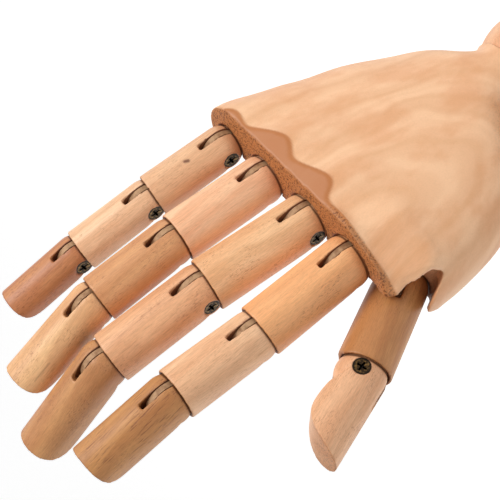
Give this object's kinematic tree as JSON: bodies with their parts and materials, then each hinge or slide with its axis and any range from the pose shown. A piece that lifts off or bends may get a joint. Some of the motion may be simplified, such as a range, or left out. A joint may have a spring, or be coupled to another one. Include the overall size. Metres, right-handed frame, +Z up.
{
  "type": "jointed hand mannequin",
  "caption": "Wooden artist's hand with jointed fingers and thumb on a sprung ball wrist and a flat-footed forearm.",
  "frame": {"origin": "middle of the flat foot of the forearm", "axes": "+Z up along the forearm towards the fingertips, -Y out of the back of the hand, -X towards the thumb"},
  "size_m": [0.1156, 0.0648, 0.2965],
  "materials": {
    "palm_wood": "satin oiled",
    "finger_wood": "satin oiled",
    "forearm_wood": "satin oiled",
    "tongue": "dull, slightly stained",
    "screw": "dark bronzed with worn brass edges",
    "hardware": "zinc plated",
    "spring_wire": "bright drawn wire"
  },
  "bodies": {
    "forearm": {"forearm_base": "forearm_wood", "tension_washer": "hardware"},
    "wrist_swivel": {"tension_bolt": "hardware", "tension_nut": "hardware", "spring_lower_hook": "spring_wire"},
    "wrist_ball": {"wrist_ball": "forearm_wood", "wrist_spring": "spring_wire"},
    "palm": {"palm": "palm_wood", "palm_eye_screw": "hardware", "spring_upper_hook": "spring_wire", "little_proximal_tongue": "tongue", "ring_proximal_tongue": "tongue", "middle_proximal_tongue": "tongue", "index_proximal_tongue": "tongue", "thumb_proximal_tongue": "tongue"},
    "little_proximal": {"little_proximal": "finger_wood", "little_proximal_screw": "screw", "little_middle_tongue": "tongue"},
    "little_middle": {"little_middle": "finger_wood", "little_middle_screw": "screw", "little_distal_tongue": "tongue"},
    "little_distal": {"little_distal": "finger_wood", "little_distal_screw": "screw"},
    "ring_proximal": {"ring_proximal": "finger_wood", "ring_proximal_screw": "screw", "ring_middle_tongue": "tongue"},
    "ring_middle": {"ring_middle": "finger_wood", "ring_middle_screw": "screw", "ring_distal_tongue": "tongue"},
    "ring_distal": {"ring_distal": "finger_wood", "ring_distal_screw": "screw"},
    "middle_proximal": {"middle_proximal": "finger_wood", "middle_proximal_screw": "screw", "middle_middle_tongue": "tongue"},
    "middle_middle": {"middle_middle": "finger_wood", "middle_middle_screw": "screw", "middle_distal_tongue": "tongue"},
    "middle_distal": {"middle_distal": "finger_wood", "middle_distal_screw": "screw"},
    "index_proximal": {"index_proximal": "finger_wood", "index_proximal_screw": "screw", "index_middle_tongue": "tongue"},
    "index_middle": {"index_middle": "finger_wood", "index_middle_screw": "screw", "index_distal_tongue": "tongue"},
    "index_distal": {"index_distal": "finger_wood", "index_distal_screw": "screw"},
    "thumb_proximal": {"thumb_proximal": "finger_wood", "thumb_proximal_screw": "screw", "thumb_distal_tongue": "tongue"},
    "thumb_distal": {"thumb_distal": "finger_wood", "thumb_distal_screw": "screw"}
  },
  "joints": [
    {"name": "wrist_twist", "type": "hinge", "parent": "forearm", "child": "wrist_swivel", "pos_m": [0, 0, 0.1045], "axis": [0, 0, 1], "range_deg": [-90, 90]},
    {"name": "wrist_deviation", "type": "hinge", "parent": "wrist_swivel", "child": "wrist_ball", "pos_m": [0, 0, 0.1045], "axis": [0, 1, 0], "range_deg": [-30, 30]},
    {"name": "wrist_flexion", "type": "hinge", "parent": "wrist_ball", "child": "palm", "pos_m": [0, 0, 0.1045], "axis": [1, 0, 0], "range_deg": [-45, 45]},
    {"name": "little_knuckle", "type": "hinge", "parent": "palm", "child": "little_proximal", "pos_m": [0.0327, 0, 0.2001], "axis": [-0.999, 0, 0.0454], "range_deg": [-22.8, 57.2]},
    {"name": "little_mid_joint", "type": "hinge", "parent": "little_proximal", "child": "little_middle", "pos_m": [0.03394, 0.0062, 0.22738], "axis": [-0.999, 0, 0.0454], "range_deg": [-14, 66]},
    {"name": "little_tip_joint", "type": "hinge", "parent": "little_middle", "child": "little_distal", "pos_m": [0.03512, 0.01406, 0.25339], "axis": [-0.999, 0, 0.0454], "range_deg": [-16.3, 63.7]},
    {"name": "ring_knuckle", "type": "hinge", "parent": "palm", "child": "ring_proximal", "pos_m": [0.0145, 0, 0.198], "axis": [-0.9999, 0, -0.0157], "range_deg": [-16.4, 63.6]},
    {"name": "ring_mid_joint", "type": "hinge", "parent": "ring_proximal", "child": "ring_middle", "pos_m": [0.01398, 0.00368, 0.23079], "axis": [-0.9999, 0, -0.0157], "range_deg": [-16.4, 63.6]},
    {"name": "ring_tip_joint", "type": "hinge", "parent": "ring_middle", "child": "ring_distal", "pos_m": [0.01354, 0.01019, 0.25946], "axis": [-0.9999, 0, -0.0157], "range_deg": [-29.2, 50.8]},
    {"name": "middle_knuckle", "type": "hinge", "parent": "palm", "child": "middle_proximal", "pos_m": [-0.0058, 0, 0.1963], "axis": [-0.9997, 0, 0.0227], "range_deg": [-17.4, 62.6]},
    {"name": "middle_mid_joint", "type": "hinge", "parent": "middle_proximal", "child": "middle_middle", "pos_m": [-0.00497, 0.00477, 0.23298], "axis": [-0.9997, 0, 0.0227], "range_deg": [-17.4, 62.6]},
    {"name": "middle_tip_joint", "type": "hinge", "parent": "middle_middle", "child": "middle_distal", "pos_m": [-0.0042, 0.01366, 0.26662], "axis": [-0.9997, 0, 0.0227], "range_deg": [-37, 43]},
    {"name": "index_knuckle", "type": "hinge", "parent": "palm", "child": "index_proximal", "pos_m": [-0.0254, 0, 0.1956], "axis": [-0.9985, 0, -0.0541], "range_deg": [-20, 60]},
    {"name": "index_mid_joint", "type": "hinge", "parent": "index_proximal", "child": "index_middle", "pos_m": [-0.02722, 0.00594, 0.22923], "axis": [-0.9985, 0, -0.0541], "range_deg": [-5.2, 74.8]},
    {"name": "index_tip_joint", "type": "hinge", "parent": "index_middle", "child": "index_distal", "pos_m": [-0.02884, 0.00866, 0.25906], "axis": [-0.9985, 0, -0.0541], "range_deg": [-20.1, 59.9]},
    {"name": "thumb_knuckle", "type": "hinge", "parent": "palm", "child": "thumb_proximal", "pos_m": [-0.0359, 0.011, 0.1835], "axis": [-0.806, 0.2623, -0.5306], "range_deg": [-3, 28]},
    {"name": "thumb_tip_joint", "type": "hinge", "parent": "thumb_proximal", "child": "thumb_distal", "pos_m": [-0.05319, 0.01228, 0.2104], "axis": [0.1386, 0.9895, 0.042], "range_deg": [-17, 63]}
  ]
}
